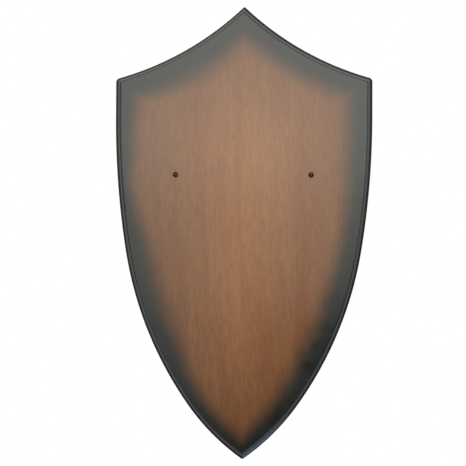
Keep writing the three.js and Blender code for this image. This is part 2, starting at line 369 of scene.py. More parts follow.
def shader_group(name, inputs, outputs):
    """A new shader node group: inputs {name: (socket type, default)} and outputs {name: socket type}."""
    tree = bpy.data.node_groups.new(name, "ShaderNodeTree")
    for label, (kind, default) in inputs.items():
        socket = tree.interface.new_socket(label, in_out="INPUT", socket_type=kind)
        if default is not None:
            socket.default_value = default
    for label, kind in outputs.items():
        tree.interface.new_socket(label, in_out="OUTPUT", socket_type=kind)
    return tree, tree.nodes.new("NodeGroupInput").outputs, tree.nodes.new("NodeGroupOutput").inputs


FLOAT = "NodeSocketFloat"
VECTOR = "NodeSocketVector"


LEAN_STARTS = 50 * MM


def timber_grain_group():
    """Straight-grained timber with its grain along Z: broad figure, fine streaks and short open pores."""
    tree, given, out = shader_group(
        "Timber grain",
        {
            "Vector": (VECTOR, None),
            "Lean": (FLOAT, 0.0),
            "Wander": (FLOAT, 0.003),
            "Figure width": (FLOAT, 0.022),
            "Streak width": (FLOAT, 0.0016),
            "Streak length": (FLOAT, 0.03),
            "Pore width": (FLOAT, 0.0011),
            "Pore length": (FLOAT, 0.012),
        },
        {"Figure": FLOAT, "Streaks": FLOAT, "Pores": FLOAT},
    )
    x, y, z = separated(tree, given["Vector"])
    # The grain runs slightly off upright below the height where its lean starts.
    below = maths(tree, "SUBTRACT", maths(tree, "MINIMUM", z, LEAN_STARTS), LEAN_STARTS)
    lean = maths(tree, "MULTIPLY", below, given["Lean"])
    waves = noise(tree, stretched(tree, given["Vector"], (9, 9, 4.5)), 1.0, 2.0)
    wander = maths(tree, "MULTIPLY", maths(tree, "SUBTRACT", waves, 0.5), given["Wander"])
    across = maths(tree, "ADD", maths(tree, "ADD", x, lean), maths(tree, "MULTIPLY", wander, 2.0))

    def grain_vector(width, length):
        scaled_x = maths(tree, "DIVIDE", across, width)
        scaled_y = maths(tree, "DIVIDE", y, width)
        scaled_z = maths(tree, "DIVIDE", z, length)
        return combined(tree, scaled_x, scaled_y, scaled_z)

    figure_length = maths(tree, "MULTIPLY", given["Figure width"], 14.0)
    figure = grain_vector(given["Figure width"], figure_length)
    figure = noise(tree, figure, 1.0, 3.0, 0.55, 0.25)
    streaks = grain_vector(given["Streak width"], given["Streak length"])
    streaks = noise(tree, streaks, 1.0, 3.0, 0.6)
    pores = grain_vector(given["Pore width"], given["Pore length"])
    cells = add(tree, "ShaderNodeTexVoronoi", {"feature": "F1"}, {"Vector": pores, "Scale": 1.0})
    chance = add(tree, "ShaderNodeSeparateColor", {}, {0: cells.outputs["Color"]})
    core = spread(tree, cells.outputs["Distance"], 0.12, 0.42, 1.0, 0.0, smooth=True)
    chosen = spread(tree, chance.outputs[0], 0.45, 0.8)
    pores = maths(tree, "MULTIPLY", core, chosen)
    tree.links.new(figure, out["Figure"])
    tree.links.new(streaks, out["Streaks"])
    tree.links.new(pores, out["Pores"])
    return tree


def sprayed_edge_group():
    """How densely charcoal spray covers a surface, from its distance to the outline."""
    tree, given, out = shader_group(
        "Sprayed edge",
        {
            "Vector": (VECTOR, None),
            "Distance": (FLOAT, 0.1),
            "Reach": (FLOAT, 0.02),
            "Softness": (FLOAT, 0.026),
            "Haze reach": (FLOAT, 0.19),
            "Haze": (FLOAT, 0.42),
        },
        {"Cover": FLOAT},
    )
    vector = given["Vector"]
    drift = maths(tree, "MULTIPLY", maths(tree, "SUBTRACT", noise(tree, vector, 14.0, 2.0), 0.5), 0.012)
    edge = maths(tree, "ADD", given["Distance"], drift)
    past = maths(tree, "SUBTRACT", edge, given["Reach"])
    cover = maths(tree, "DIVIDE", past, given["Softness"])
    cover = spread(tree, cover, -0.5, 0.5, 1.0, 0.0, smooth=True)
    haze = maths(tree, "DIVIDE", edge, given["Haze reach"])
    haze = spread(tree, haze, 0.0, 1.0, 1.0, 0.0, smooth=True)
    haze = maths(tree, "MULTIPLY", haze, given["Haze"])
    bare = maths(tree, "MULTIPLY", maths(tree, "SUBTRACT", 1.0, cover), maths(tree, "SUBTRACT", 1.0, haze))
    cover = maths(tree, "SUBTRACT", 1.0, bare)
    # Droplets show where the coat is thin.
    thin = maths(tree, "MULTIPLY", maths(tree, "MULTIPLY", cover, bare), 1.6)
    droplets = maths(tree, "SUBTRACT", noise(tree, vector, 900.0, 1.0), 0.5)
    cover = maths(tree, "ADD", cover, maths(tree, "MULTIPLY", droplets, thin), clamp=True)
    tree.links.new(cover, out["Cover"])
    return tree


def arris_wear_and_highlight_group():
    """Where a finish is made lighter on the arrises, in patches: wear from handling, and on the lacquer and
    the screw heads also a painted highlight.
    """
    tree, given, out = shader_group(
        "Arris wear and highlight",
        {
            "Vector": (VECTOR, None),
            "Arris": (FLOAT, 0.0),
            "Patch size": (FLOAT, 0.02),
            "Amount": (FLOAT, 0.5),
        },
        {"Wear and highlight": FLOAT},
    )
    scale = maths(tree, "DIVIDE", 1.0, given["Patch size"])
    patches = noise(tree, given["Vector"], scale, 5.0, 0.65)
    threshold = maths(tree, "SUBTRACT", 0.85, maths(tree, "MULTIPLY", given["Amount"], 0.45))
    broken = maths(tree, "SUBTRACT", patches, threshold)
    broken = spread(tree, broken, -0.06, 0.12, smooth=True)
    tree.links.new(maths(tree, "MULTIPLY", broken, given["Arris"]), out["Wear and highlight"])
    return tree


def settled_dust_group():
    """Dust on what faces up, and a little everywhere."""
    tree, given, out = shader_group(
        "Settled dust",
        {"Vector": (VECTOR, None), "Amount": (FLOAT, 0.3)},
        {"Dust": FLOAT},
    )
    normal = add(tree, "ShaderNodeNewGeometry").outputs["Normal"]
    up = separated(tree, normal)[2]
    flat = spread(tree, up, 0.15, 0.95)
    specks = spread(tree, noise(tree, given["Vector"], 420.0, 4.0, 0.7), 0.45, 0.8)
    clouds = noise(tree, given["Vector"], 30.0, 2.0)
    dust = maths(tree, "MULTIPLY", maths(tree, "ADD", flat, 0.12), maths(tree, "ADD", specks, clouds))
    dust = maths(tree, "MULTIPLY", dust, given["Amount"], clamp=True)
    tree.links.new(dust, out["Dust"])
    return tree


GRAIN = timber_grain_group()
SPRAY = sprayed_edge_group()
ARRIS_WEAR_AND_HIGHLIGHT = arris_wear_and_highlight_group()
DUST = settled_dust_group()


def use(tree, group, inputs):
    """A group placed in a material with its own values."""
    return add(tree, "ShaderNodeGroup", {"node_tree": group}, inputs)


def new_material(name, base, constants):
    """A plain material in its base colour, with its tree, its shader and its object coordinates."""
    made = bpy.data.materials.new(name)
    made.use_nodes = True
    made.diffuse_color = base
    tree = made.node_tree
    shader = tree.nodes["Principled BSDF"]
    shader.inputs["Base Color"].default_value = base
    for label, value in constants.items():
        shader.inputs[label].default_value = value
    vector = add(tree, "ShaderNodeTexCoord").outputs["Object"]
    return made, tree, shader, vector


def paint(tree, shader, base, rough):
    """Links what varies over the surface to the shader's colour and roughness."""
    tree.links.new(base, shader.inputs["Base Color"])
    tree.links.new(rough, shader.inputs["Roughness"])


def worn_and_highlit(tree, vector, base, patch_size, amount, share, bare):
    """A colour with a share of a barer, lighter one on the arrises: wear, and on the lacquer and the screw
    heads also a painted highlight.
    """
    wear_and_highlight = use(tree, ARRIS_WEAR_AND_HIGHLIGHT, {
        "Vector": vector, "Arris": attribute(tree, "arris"), "Patch size": patch_size, "Amount": amount,
    }).outputs[0]
    return mix_colour(tree, maths(tree, "MULTIPLY", wear_and_highlight, share), base, bare)


def dusted(tree, vector, base, amount, tone):
    """A colour under settled dust of another tone, and how much of the dust there is."""
    dust = use(tree, DUST, {"Vector": vector, "Amount": amount}).outputs[0]
    return mix_colour(tree, dust, base, tone), dust


def attribute(tree, name):
    return add(tree, "ShaderNodeAttribute", {"attribute_name": name}).outputs["Fac"]


def bump(tree, shader, height, distance, strength=1.0):
    made = add(tree, "ShaderNodeBump", {}, {"Height": height, "Distance": distance, "Strength": strength})
    tree.links.new(made.outputs[0], shader.inputs["Normal"])


# ---- materials ----

CHARCOAL = colour(0.0032, 0.0040, 0.0033)


def face_wood():
    """Red-brown mahogany veneer under satin lacquer, sprayed charcoal towards the edge."""
    made, tree, shader, vector = new_material("mahogany_face", colour(0.30, 0.12, 0.035), {"IOR": 1.5})
    grain = use(tree, GRAIN, {
        "Vector": vector, "Lean": 0.05, "Wander": 0.006, "Streak width": 0.0021, "Streak length": 0.018,
        "Pore width": 0.0015, "Pore length": 0.012,
    }).outputs
    tone = ramp(tree, grain["Figure"], [
        (0.28, colour(0.139, 0.0460, 0.0110)),
        (0.5, colour(0.153, 0.0570, 0.0145)),
        (0.72, colour(0.168, 0.0685, 0.0182)),
    ])
    streaks = spread(tree, grain["Streaks"], 0.3, 0.7)
    wood = mix_colour(tree, streaks, colour(0.83, 0.815, 0.80), colour(1.16, 1.15, 1.13))
    wood = mix_colour(tree, 1.0, tone, wood, "MULTIPLY")
    # The leaf of veneer is darker down its left side, and the wood is made darker towards the foot of the
    # shield.
    x, _, z = separated(tree, vector)
    across = spread(tree, x, -0.085, -0.03, 0.90, 1.02, smooth=True)
    foot = spread(tree, z, -0.29, -0.16, 0.80, 1.0, smooth=True)
    leaf = maths(tree, "MULTIPLY", across, foot)
    wood = mix_colour(tree, 1.0, wood, combined(tree, leaf, leaf, leaf), "MULTIPLY")
    pores = maths(tree, "MULTIPLY", grain["Pores"], 0.45)
    wood = mix_colour(tree, pores, wood, colour(0.05, 0.017, 0.006))
    reach = attribute(tree, "spray_reach")
    softness = maths(tree, "ADD", maths(tree, "MULTIPLY", reach, 0.9), 0.006)
    cover = use(tree, SPRAY, {
        "Vector": vector, "Distance": attribute(tree, "edge_distance"), "Reach": reach, "Softness": softness,
    }).outputs[0]
    rough = spread(tree, noise(tree, vector, 60.0, 4.0), 0.3, 0.7, 0.18, 0.23)
    rough = maths(tree, "ADD", rough, maths(tree, "MULTIPLY", grain["Pores"], 0.03))
    paint(tree, shader, mix_colour(tree, cover, wood, CHARCOAL), rough)
    ripple = maths(tree, "MULTIPLY", noise(tree, vector, 260.0, 2.0), 0.35)
    height = maths(tree, "SUBTRACT", maths(tree, "ADD", ripple, streaks), pores)
    bump(tree, shader, height, 0.00005, 0.4)
    return made


def back_wood():
    """Plain sealed balancing veneer, with black overspray along its edge."""
    made, tree, shader, vector = new_material("sealed_back", colour(0.25, 0.15, 0.09), {"IOR": 1.45})
    shifted = add(
        tree, "ShaderNodeMapping", {"vector_type": "POINT"},
        {"Vector": vector, "Location": (0.37, 0.1, 0.22)},
    ).outputs[0]
    grain = use(tree, GRAIN, {
        "Vector": shifted, "Wander": 0.014, "Figure width": 0.034, "Streak width": 0.0022,
        "Streak length": 0.06, "Pore width": 0.0014, "Pore length": 0.02,
    }).outputs
    tone = ramp(tree, grain["Figure"], [
        (0.25, colour(0.205, 0.115, 0.062)),
        (0.75, colour(0.330, 0.205, 0.122)),
    ])
    streaks = spread(tree, grain["Streaks"], 0.3, 0.7)
    wood = mix_colour(tree, streaks, colour(0.86, 0.85, 0.83), colour(1.10, 1.10, 1.10))
    wood = mix_colour(tree, 1.0, tone, wood, "MULTIPLY")
    wood = mix_colour(tree, maths(tree, "MULTIPLY", grain["Pores"], 0.55), wood, colour(0.09, 0.045, 0.022))
    cover = use(tree, SPRAY, {
        "Vector": vector, "Distance": attribute(tree, "edge_distance"), "Reach": 0.004,
        "Softness": 0.012, "Haze reach": 0.05, "Haze": 0.25,
    }).outputs[0]
    wood = mix_colour(tree, cover, wood, CHARCOAL)
    wood, _ = dusted(tree, vector, wood, amount=0.35, tone=colour(0.42, 0.40, 0.37))
    rough = spread(tree, noise(tree, vector, 45.0, 4.0), 0.3, 0.7, 0.55, 0.68)
    paint(tree, shader, wood, rough)
    height = maths(tree, "SUBTRACT", streaks, grain["Pores"])
    bump(tree, shader, height, 0.00012, 0.8)
    return made


def black_lacquer():
    """Satin charcoal-black lacquer over the routed fibreboard edge, lighter in patches along the quarter
    round: partly wear on the arrises and partly a painted highlight.
    """
    made, tree, shader, vector = new_material("charcoal_lacquer", CHARCOAL, {"IOR": 1.5})
    mottle = spread(tree, noise(tree, vector, 90.0, 5.0, 0.6), 0.3, 0.7)
    base = mix_colour(tree, mottle, colour(0.0052, 0.0054, 0.0052), colour(0.0085, 0.0088, 0.0084))
    # Lighter in patches along the band marked on the quarter round: partly wear, partly a painted highlight.
    base = worn_and_highlit(
        tree, vector, base, patch_size=0.03, amount=0.75, share=0.7, bare=colour(0.016, 0.015, 0.0135),
    )
    base, dust = dusted(tree, vector, base, amount=0.05, tone=colour(0.30, 0.29, 0.28))
    rough = spread(tree, noise(tree, vector, 70.0, 4.0), 0.3, 0.7, 0.19, 0.25)
    rough = maths(tree, "ADD", rough, maths(tree, "MULTIPLY", dust, 0.5))
    paint(tree, shader, base, rough)
    fibres = noise(tree, stretched(tree, vector, (900, 260, 900)), 1.0, 3.0)
    peel = noise(tree, vector, 340.0, 2.0)
    bump(tree, shader, maths(tree, "ADD", fibres, peel), 0.000012, 0.5)
    return made


def dark_bronze():
    """Dark antique bronze, brighter on its high edges and dome tops: partly wear and partly a painted
    highlight.
    """
    made, tree, shader, vector = new_material("antique_bronze", colour(0.09, 0.045, 0.02), {"Metallic": 1.0})
    patina = spread(tree, noise(tree, vector, 900.0, 5.0, 0.65), 0.35, 0.7)
    base = mix_colour(tree, patina, colour(0.004, 0.0025, 0.0015), colour(0.012, 0.007, 0.004))
    # Lighter bronze on the dome tops and slot lips: partly wear, partly a painted highlight.
    base = worn_and_highlit(
        tree, vector, base, patch_size=0.002, amount=1.0, share=0.45, bare=colour(0.12, 0.07, 0.04),
    )
    paint(tree, shader, base, spread(tree, patina, 0.0, 1.0, 0.46, 0.30))
    bump(tree, shader, noise(tree, vector, 2600.0, 3.0), 0.00003, 0.6)
    return made


def zinc_plate():
    """Bright zinc plate with barrel-plating scuffs and a trace of yellow passivation."""
    made, tree, shader, vector = new_material("bright_zinc", colour(0.62, 0.63, 0.64), {"Metallic": 1.0})
    cloud = spread(tree, noise(tree, vector, 300.0, 4.0, 0.6), 0.3, 0.7)
    base = mix_colour(tree, cloud, colour(0.56, 0.575, 0.60), colour(0.70, 0.69, 0.655))
    scuffs = spread(tree, noise(tree, stretched(tree, vector, (5200, 5200, 900)), 1.0, 2.0), 0.6, 0.75)
    base = worn_and_highlit(
        tree, vector, base, patch_size=0.004, amount=0.8, share=0.6, bare=colour(0.40, 0.38, 0.36),
    )
    base, dust = dusted(tree, vector, base, amount=0.3, tone=colour(0.34, 0.33, 0.31))
    rough = spread(tree, cloud, 0.0, 1.0, 0.24, 0.36)
    rough = maths(tree, "ADD", rough, maths(tree, "MULTIPLY", scuffs, 0.15))
    rough = maths(tree, "ADD", rough, maths(tree, "MULTIPLY", dust, 0.4), clamp=True)
    paint(tree, shader, base, rough)
    bump(tree, shader, maths(tree, "SUBTRACT", cloud, scuffs), 0.00002, 0.6)
    return made


def bumper_rubber():
    """Matt black moulded rubber, greyed by dust."""
    made, tree, shader, vector = new_material("moulded_rubber", colour(0.03, 0.03, 0.03), {"IOR": 1.5})
    bloom = spread(tree, noise(tree, vector, 240.0, 5.0, 0.65), 0.35, 0.75)
    base = mix_colour(tree, bloom, colour(0.022, 0.022, 0.023), colour(0.050, 0.049, 0.047))
    base = worn_and_highlit(
        tree, vector, base, patch_size=0.003, amount=0.9, share=0.5, bare=colour(0.12, 0.115, 0.11),
    )
    base, _ = dusted(tree, vector, base, amount=0.45, tone=colour(0.34, 0.33, 0.31))
    paint(tree, shader, base, spread(tree, bloom, 0.0, 1.0, 0.62, 0.82))
    bump(tree, shader, noise(tree, vector, 1500.0, 3.0), 0.00006, 0.8)
    return made


# ---- board ----

# The flat floor of the quirk, and where the quarter round is made lighter, partly as wear and partly as a
# painted highlight along its ridge: how high up it, and how widely
QUIRK_FLOOR = 0.4 * QUIRK_WIDTH
WEAR_AND_HIGHLIGHT_HEIGHT = 0.62 * ROUND_OVER
WEAR_AND_HIGHLIGHT_WIDTH = 1.6 * MM


def round_over_levels():
    """The routed quarter round: (inset, height), from the outer wall to the foot of the step."""
    top = BOARD_THICKNESS - STEP_HEIGHT
    levels = []
    for i in range(ROUND_OVER_STEPS + 1):
        turn = (i / ROUND_OVER_STEPS) * (math.pi / 2)
        levels.append((ROUND_OVER * (1 - math.cos(turn)), top - ROUND_OVER * (1 - math.sin(turn))))
    return levels


def routed_board(material):
    """The core with its outer wall, its quarter round and the quirk at the foot of the step."""
    seat = VENEER_THICKNESS
    step_foot = BOARD_THICKNESS - STEP_HEIGHT
    wall_top = step_foot - ROUND_OVER
    quirk_foot = step_foot - QUIRK_DEPTH
    quirk_start = ROUND_OVER - QUIRK_WIDTH
    levels = [(0, seat), (0, (seat + wall_top) / 2)]
    levels += [(inset, height) for inset, height in round_over_levels() if inset < quirk_start]
    levels += [(quirk_start, step_foot), (ROUND_OVER - QUIRK_FLOOR, quirk_foot)]
    levels += [(ROUND_OVER, quirk_foot), (ROUND_OVER, BOARD_THICKNESS - VENEER_THICKNESS)]
    made = lofted("routed_board", [level(inset, height) for inset, height in levels], material)
    height = BACK_Y - vertices(made)[:, 1]
    # A band up the quarter round where the lacquer is made lighter: partly wear, partly a painted highlight.
    store(made, "arris", ridge(height - wall_top - WEAR_AND_HIGHLIGHT_HEIGHT, WEAR_AND_HIGHLIGHT_WIDTH))
    return place(made, "board", "black_lacquer", "core_board")


# The rings of a veneer lie close together near its edge, where the spray changes fastest.
FIRST_RING_STEP = 1.5 * MM
RING_STEP_GROWTH = 1.25
WIDEST_RING_STEP = 6 * MM
LAST_OUTLINE_RING = 60 * MM
SPINE_TOP = 100 * MM
SPINE_BOTTOM = -120 * MM


def veneer_rings(edge_levels, flat_height):
    """Rings of a veneer: up its edge, then inwards over its flat side to near the spine of the shield."""
    rings = [level(inset, height) for inset, height in edge_levels]
    inset = edge_levels[-1][0]
    step = FIRST_RING_STEP
    while inset + step < LAST_OUTLINE_RING:
        inset += step
        rings.append(level(inset, flat_height))
        step = min(step * RING_STEP_GROWTH, WIDEST_RING_STEP)
    outer = np.array(rings[-1])
    _, y, z = outer.T
    spine_z = np.interp(z, [z.min(), z.max()], [SPINE_BOTTOM, SPINE_TOP])
    spine = np.stack([np.zeros(len(outer)), y, spine_z], 1)
    for share in (0.16, 0.32, 0.48, 0.64, 0.8, 0.94):
        rings.append([tuple(p) for p in outer * (1 - share) + spine * share])
    return rings


def veneer(name, edge_levels, flat_height, material):
    """One of the two veneers, marked for the spray."""
    made = lofted(name, veneer_rings(edge_levels, flat_height), material)
    mark_spray(made)
    return made


def wood_face(material):
    """The veneered face inside the step, with a bevelled arris that softens into the flat."""
    edge = [(ROUND_OVER, BOARD_THICKNESS - VENEER_THICKNESS)]
    for inward, down in ((0, 0.95), (0.85, 0.1), (1.2, 0)):
        edge.append((ROUND_OVER + inward * FACE_BEVEL, BOARD_THICKNESS - down * FACE_BEVEL))
    made = veneer("wood_face", edge, BOARD_THICKNESS, material)
    return place(made, "board", "face_veneer", "face_veneer")


def wood_back(material):
    """The balancing veneer on the back, its arris eased by a small quarter round."""
    edge = [(0, VENEER_THICKNESS)]
    for i in range(ARRIS_STEPS + 1):
        turn = (i / ARRIS_STEPS) * (math.pi / 2)
        edge.append((BACK_ARRIS_ROUND * (1 - math.cos(turn)), BACK_ARRIS_ROUND * (1 - math.sin(turn))))
    made = veneer("wood_back", edge, 0, material)
    return place(made, "board", "back_veneer", "back_veneer")


# ---- turned and cut pieces ----

TURNED_SEGMENTS = 48
SOFTENED_ANGLE = math.radians(30)


def turned(name, profile, material):
    """A closed solid turned about Y from (radius, y) points that start and end on the axis."""
    points, faces, rings = [], [], []
    for radius, y in profile:
        if radius < 1e-9:
            rings.append([len(points)])
            points.append((0, y, 0))
            continue
        rings.append(list(range(len(points), len(points) + TURNED_SEGMENTS)))
        for i in range(TURNED_SEGMENTS):
            turn = 2 * math.pi * i / TURNED_SEGMENTS
            points.append((radius * math.cos(turn), y, radius * math.sin(turn)))
    for low, high in zip(rings, rings[1:]):
        for i in range(TURNED_SEGMENTS):
            j = (i + 1) % TURNED_SEGMENTS
            face = [low[i % len(low)], low[j % len(low)], high[j % len(high)], high[i % len(high)]]
            faces.append(tuple(dict.fromkeys(face)))
    return finished(name, points, faces, material)


def quarter(centre_radius, centre_y, across, rise, steps, start=0.0, end=90.0):
    """Points of an elliptical quarter, as (radius, y)."""
    turns = [math.radians(start + (end - start) * i / steps) for i in range(steps + 1)]
    return [(centre_radius + across * math.cos(t), centre_y + rise * math.sin(t)) for t in turns]


def cut(made, *cutters):
    """Cuts solids away from a piece, applies it, and removes the cutters."""
    for cutter in cutters:
        modifier = made.modifiers.new("cut", "BOOLEAN")
        modifier.operation = "DIFFERENCE"
        modifier.solver = "EXACT"
        modifier.object = cutter
    baked(made)
    for cutter in cutters:
        bpy.data.objects.remove(cutter)
    return made


def baked(made):
    """Replaces the object's mesh with its evaluated one and drops its modifiers."""
    depsgraph = bpy.context.evaluated_depsgraph_get()
    mesh = bpy.data.meshes.new_from_object(made.evaluated_get(depsgraph))
    made.modifiers.clear()
    made.data = mesh
    return made


def box_solid(name, size, centre, taper=1.0):
    """A box whose -Y end is the given share of its +Y end."""
    points = []
    for y in (-0.5, 0.5):
        share = taper if y < 0 else 1.0
        for x, z in ((-0.5, -0.5), (0.5, -0.5), (0.5, 0.5), (-0.5, 0.5)):
            points.append((
                centre[0] + x * size[0] * share, centre[1] + y * size[1], centre[2] + z * size[2] * share,
            ))
    faces = [(0, 1, 2, 3), (4, 5, 6, 7)]
    faces += [(i, (i + 1) % 4, 4 + (i + 1) % 4, 4 + i) for i in range(4)]
    return finished(name, points, faces, None)


def soften(made, width):
    """Rounds the sharp edges of a piece."""
    modifier = made.modifiers.new("soften", "BEVEL")
    modifier.width = width
    modifier.segments = 3
    modifier.limit_method = "ANGLE"
    modifier.angle_limit = SOFTENED_ANGLE
    baked(made)
    made.data.shade_smooth()
    made.data.set_sharp_from_angle(angle=SHARP_ANGLE)


# ---- geometry node trees ----

def geometry_tree(name, inputs):
    """A modifier's tree from geometry to geometry, with named inputs {name: (socket type, default)}."""
    tree = bpy.data.node_groups.new(name, "GeometryNodeTree")
    tree.interface.new_socket("Geometry", in_out="INPUT", socket_type="NodeSocketGeometry")
    for label, (kind, default) in inputs.items():
        socket = tree.interface.new_socket(label, in_out="INPUT", socket_type=kind)
        if default is not None:
            socket.default_value = default
    tree.interface.new_socket("Geometry", in_out="OUTPUT", socket_type="NodeSocketGeometry")
    return tree, tree.nodes.new("NodeGroupInput").outputs, tree.nodes.new("NodeGroupOutput").inputs


def end_tree(tree, given, out, geometry):
    """Ends a tree in Realize Instances and Set Material."""
    real = add(tree, "GeometryNodeRealizeInstances", {}, {"Geometry": geometry})
    painted = add(tree, "GeometryNodeSetMaterial", {}, {
        "Geometry": real.outputs[0], "Material": given["Material"],
    })
    tree.links.new(painted.outputs[0], out[0])


def set_out_tree():
    """A copy of one fixing at each point, each turned a step further about Y than the one before."""
    tree, given, out = geometry_tree("Set out fixings", {
        "Fixing": ("NodeSocketObject", None),
        "First turn": (FLOAT, 0.0),
        "Turn step": (FLOAT, 0.0),
        "Material": ("NodeSocketMaterial", None),
    })
    fixing = add(tree, "GeometryNodeObjectInfo", {}, {"Object": given["Fixing"]})
    index = add(tree, "GeometryNodeInputIndex").outputs[0]
    turn = maths(tree, "MULTIPLY", index, given["Turn step"])
    turn = maths(tree, "ADD", turn, given["First turn"])
    rotation = add(tree, "FunctionNodeEulerToRotation", {}, {0: combined(tree, 0.0, turn, 0.0)}).outputs[0]
    placed = add(tree, "GeometryNodeInstanceOnPoints", {}, {
        "Points": given["Geometry"],
        "Instance": fixing.outputs["Geometry"],
        "Rotation": rotation,
    })
    end_tree(tree, given, out, placed.outputs[0])
    return tree


def bent_wire_tree():
    """A round wire bent along the object's line of edges, with capped ends."""
    tree, given, out = geometry_tree("Bent wire", {
        "Wire radius": (FLOAT, 0.0015),
        "Sides": ("NodeSocketInt", 24),
        "Material": ("NodeSocketMaterial", None),
    })
    line = add(tree, "GeometryNodeMeshToCurve", {}, {"Mesh": given["Geometry"]})
    section = add(tree, "GeometryNodeCurvePrimitiveCircle", {"mode": "RADIUS"}, {
        "Resolution": given["Sides"], "Radius": given["Wire radius"],
    })
    swept = add(tree, "GeometryNodeCurveToMesh", {}, {
        "Curve": line.outputs[0], "Profile Curve": section.outputs[0], "Fill Caps": True,
    })
    smooth = add(tree, "GeometryNodeSetShadeSmooth", {}, {"Geometry": swept.outputs[0]})
    end_tree(tree, given, out, smooth.outputs[0])
    return tree


def made_by(tree, name, points, edges, values):
    """The plain mesh that a tree makes from points and edges, with its named inputs set."""
    mesh = bpy.data.meshes.new(name)
    mesh.from_pydata([tuple(p) for p in points], edges, [])
    made = bpy.data.objects.new(name, mesh)
    bpy.context.scene.collection.objects.link(made)
    modifier = made.modifiers.new(tree.name, "NODES")
    modifier.node_group = tree
    for item in tree.interface.items_tree:
        if item.item_type == "SOCKET" and item.in_out == "INPUT" and item.name in values:
            modifier[item.identifier] = values[item.name]
    return baked(made)


SET_OUT = set_out_tree()
BENT_WIRE = bent_wire_tree()


def set_out(name, fixing, places, material, first_turn=0.0, turn_step=0.0):
    """Copies of a fixing at the places, as one piece; the fixing itself is removed."""
    made = made_by(SET_OUT, name, places, [], {
        "Fixing": fixing, "First turn": first_turn, "Turn step": turn_step, "Material": material,
    })
    bpy.data.objects.remove(fixing)
    return made


# ---- screws ----

SLOT_WIDTH = 0.9 * MM
SLOT_DEPTH = 1.2 * MM
DOME_HEIGHT = 2.7 * MM
PAN_HEIGHT = 2.3 * MM
SHANK_RADIUS = 1.72 * MM
POINT_LENGTH = 2.8 * SHANK_RADIUS
BLUNT_TIP = 0.4 * MM
NECK_LENGTH = 0.5 * MM
NECK_FLARE = 0.35 * MM
HEAD_LIP = 0.12 * MM
RECESS_WIDTH = 1.0 * MM
RECESS_DEPTH = 1.3 * MM
RECESS_TAPER = 0.45


def screw_profile(head_radius, head_height, length, front):
    """(radius, y) of a screw, with its head from 0 towards the front, which is +Y for 1 and -Y for -1."""
    skirt = 0.25 * head_height
    underside = head_radius - HEAD_LIP
    profile = [(0, -length), (0.25 * SHANK_RADIUS, BLUNT_TIP - length), (SHANK_RADIUS, POINT_LENGTH - length)]
    profile += [(SHANK_RADIUS, -NECK_LENGTH), (SHANK_RADIUS + NECK_FLARE, 0), (underside, 0)]
    profile += quarter(underside, HEAD_LIP, HEAD_LIP, HEAD_LIP, 3, -70, 0)
    profile += quarter(0, skirt, head_radius, head_height - skirt, 14, 0, 84)
    profile.append((0, head_height))
    return [(radius, front * y) for radius, y in profile]


def round_head_screw(material):
    """The slotted display screw, with its axis through the origin and its head towards -Y."""
    low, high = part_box("display_screw_left")
    head_radius = (high.x - low.x) / 2
    length = high.y - low.y - DOME_HEIGHT
    made = turned("round_head", screw_profile(head_radius, DOME_HEIGHT, length, -1), material)
    slot = box_solid("slot", (4 * head_radius, 2 * SLOT_DEPTH, SLOT_WIDTH), (0, -DOME_HEIGHT, 0))
    soften(cut(made, slot), 0.07 * MM)
    at = vertices(made)
    rise = -at[:, 1]
    # The dome top and the slot lips are marked for a lighter bronze: partly wear, partly a painted highlight.
    crown = np.clip(rise / DOME_HEIGHT, 0, 1)
    lips = ridge(np.abs(at[:, 2]) - SLOT_WIDTH / 2, 0.22 * MM) * (rise > DOME_HEIGHT - SLOT_DEPTH)
    store(made, "arris", np.maximum(lips, 0.7 * crown**2))
    return made


def display_screws(material):
    """The two screws in the face, as one piece, with their slots at different angles."""
    places = []
    for side in ("left", "right"):
        low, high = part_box("display_screw_" + side)
        middle = (low + high) / 2
        places.append((middle.x, low.y + DOME_HEIGHT, middle.z))
    made = set_out(
        "display_screws", round_head_screw(material), places, material,
        first_turn=math.radians(24), turn_step=math.radians(47),
    )
    return place(made, "board", "dark_bronze", "display_screw_left", "display_screw_right")


def pan_head_screw(material):
    """The cross-recessed screw that holds the strap, with its head towards +Y."""
    low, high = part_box("hanger_screw")
    head_radius = (high.x - low.x) / 2
    length = high.y - low.y - PAN_HEIGHT
    made = turned("pan_head", screw_profile(head_radius, PAN_HEIGHT, length, 1), material)
    arm_length = 1.2 * head_radius
    arms = []
    for width, height in ((arm_length, RECESS_WIDTH), (RECESS_WIDTH, arm_length)):
        size = (width, 2 * RECESS_DEPTH, height)
        arms.append(box_solid("recess", size, (0, PAN_HEIGHT, 0), RECESS_TAPER))
    soften(cut(made, *arms), 0.06 * MM)
    at = vertices(made)
    side = np.minimum(np.abs(at[:, 0]), np.abs(at[:, 2]))
    lips = ridge(side - RECESS_WIDTH / 2, 0.2 * MM) * (at[:, 1] > PAN_HEIGHT - RECESS_DEPTH)
    store(made, "arris", lips)
    return made


def strap_screw(material):
    """The screw in the strap, its head on the sheet."""
    low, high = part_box("hanger_screw")
    middle = (low + high) / 2
    made = set_out(
        "strap_screw", pan_head_screw(material), [(middle.x, high.y - PAN_HEIGHT, middle.z)], material,
        first_turn=math.radians(31),
    )
    return place(made, "board", "zinc_plate", "hanger_screw")


# ---- hanger ----

SHEET = 1 * MM
SHEET_SHOWN = 0.96 * MM
SHEET_EDGE_ROUND = 0.22 * MM
LEAF_BEND = 0.6 * MM
BEND_STEPS = 12
EYE_STEPS = 48
TAIL_ROUND = 6 * MM
TAIL_STEPS = 8
TAIL_END_WIDTH = 0.7 * MM


